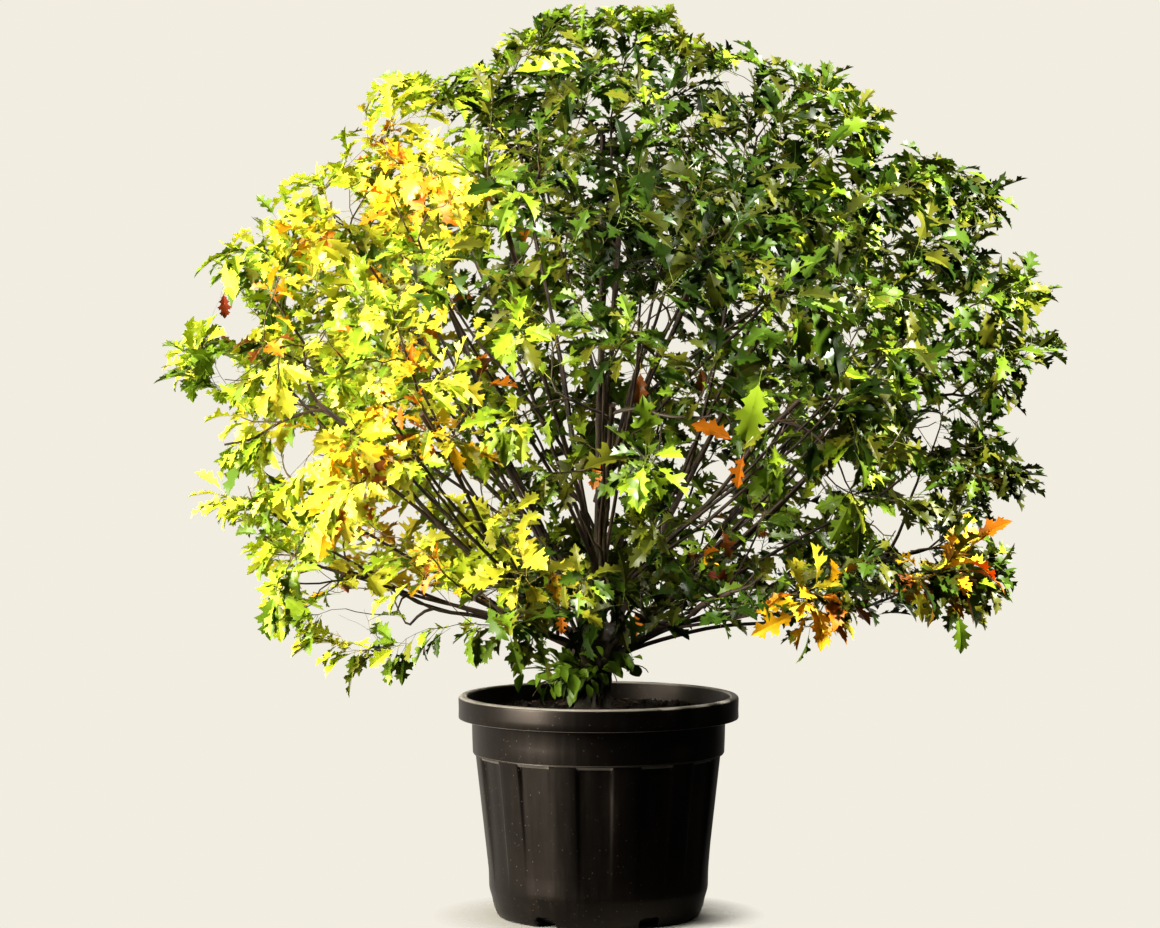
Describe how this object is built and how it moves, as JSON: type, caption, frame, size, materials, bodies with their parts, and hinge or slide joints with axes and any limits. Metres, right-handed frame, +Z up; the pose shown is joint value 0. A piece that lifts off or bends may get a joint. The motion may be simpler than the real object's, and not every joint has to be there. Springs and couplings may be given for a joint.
{
  "type": "potted pin oak",
  "caption": "Bushy young pin oak on a short trunk, with a wide rounded crown turning from green to yellow, in a ribbed black container.",
  "frame": {"origin": "middle of the pot's flat underside", "axes": "+Z up along the pot; the plant is seen from -Y in the picture, with +X to the right"},
  "size_m": [1.2926, 1.1406, 1.3025],
  "materials": {
    "pot": "black moulded plastic, slightly glossy, dusty",
    "compost": "dark moist compost with bark crumbs",
    "bark": "thin grey-brown bark with lenticels",
    "foliage": "leathery leaves, deep green turning lime, yellow and orange"
  },
  "bodies": {
    "root": {"pot": "pot", "soil": "compost", "trunk": "bark", "bough_skirt_right": "bark", "bough_skirt_back_right": "bark", "bough_skirt_back_left": "bark", "bough_skirt_left": "bark", "bough_skirt_front_left": "bark", "bough_skirt_front_right": "bark", "bough_flank_right": "bark", "bough_flank_back_right": "bark", "bough_flank_back": "bark", "bough_flank_back_left": "bark", "bough_flank_left": "bark", "bough_flank_front_left": "bark", "bough_flank_front": "bark", "bough_flank_front_right": "bark", "bough_shoulder_right": "bark", "bough_shoulder_back": "bark", "bough_shoulder_left": "bark", "bough_shoulder_front_left": "bark", "bough_shoulder_front_right": "bark", "bough_top": "bark", "foliage_skirt_right": "foliage", "foliage_skirt_back_right": "foliage", "foliage_skirt_back_left": "foliage", "foliage_skirt_left": "foliage", "foliage_skirt_front_left": "foliage", "foliage_skirt_front_right": "foliage", "foliage_flank_right": "foliage", "foliage_flank_back_right": "foliage", "foliage_flank_back": "foliage", "foliage_flank_back_left": "foliage", "foliage_flank_left": "foliage", "foliage_flank_front_left": "foliage", "foliage_flank_front": "foliage", "foliage_flank_front_right": "foliage", "foliage_shoulder_right": "foliage", "foliage_shoulder_back": "foliage", "foliage_shoulder_left": "foliage", "foliage_shoulder_front_left": "foliage", "foliage_shoulder_front_right": "foliage", "foliage_top": "foliage", "shoot_left": "foliage", "shoot_front": "foliage", "shoot_right": "foliage"}
  },
  "joints": []
}
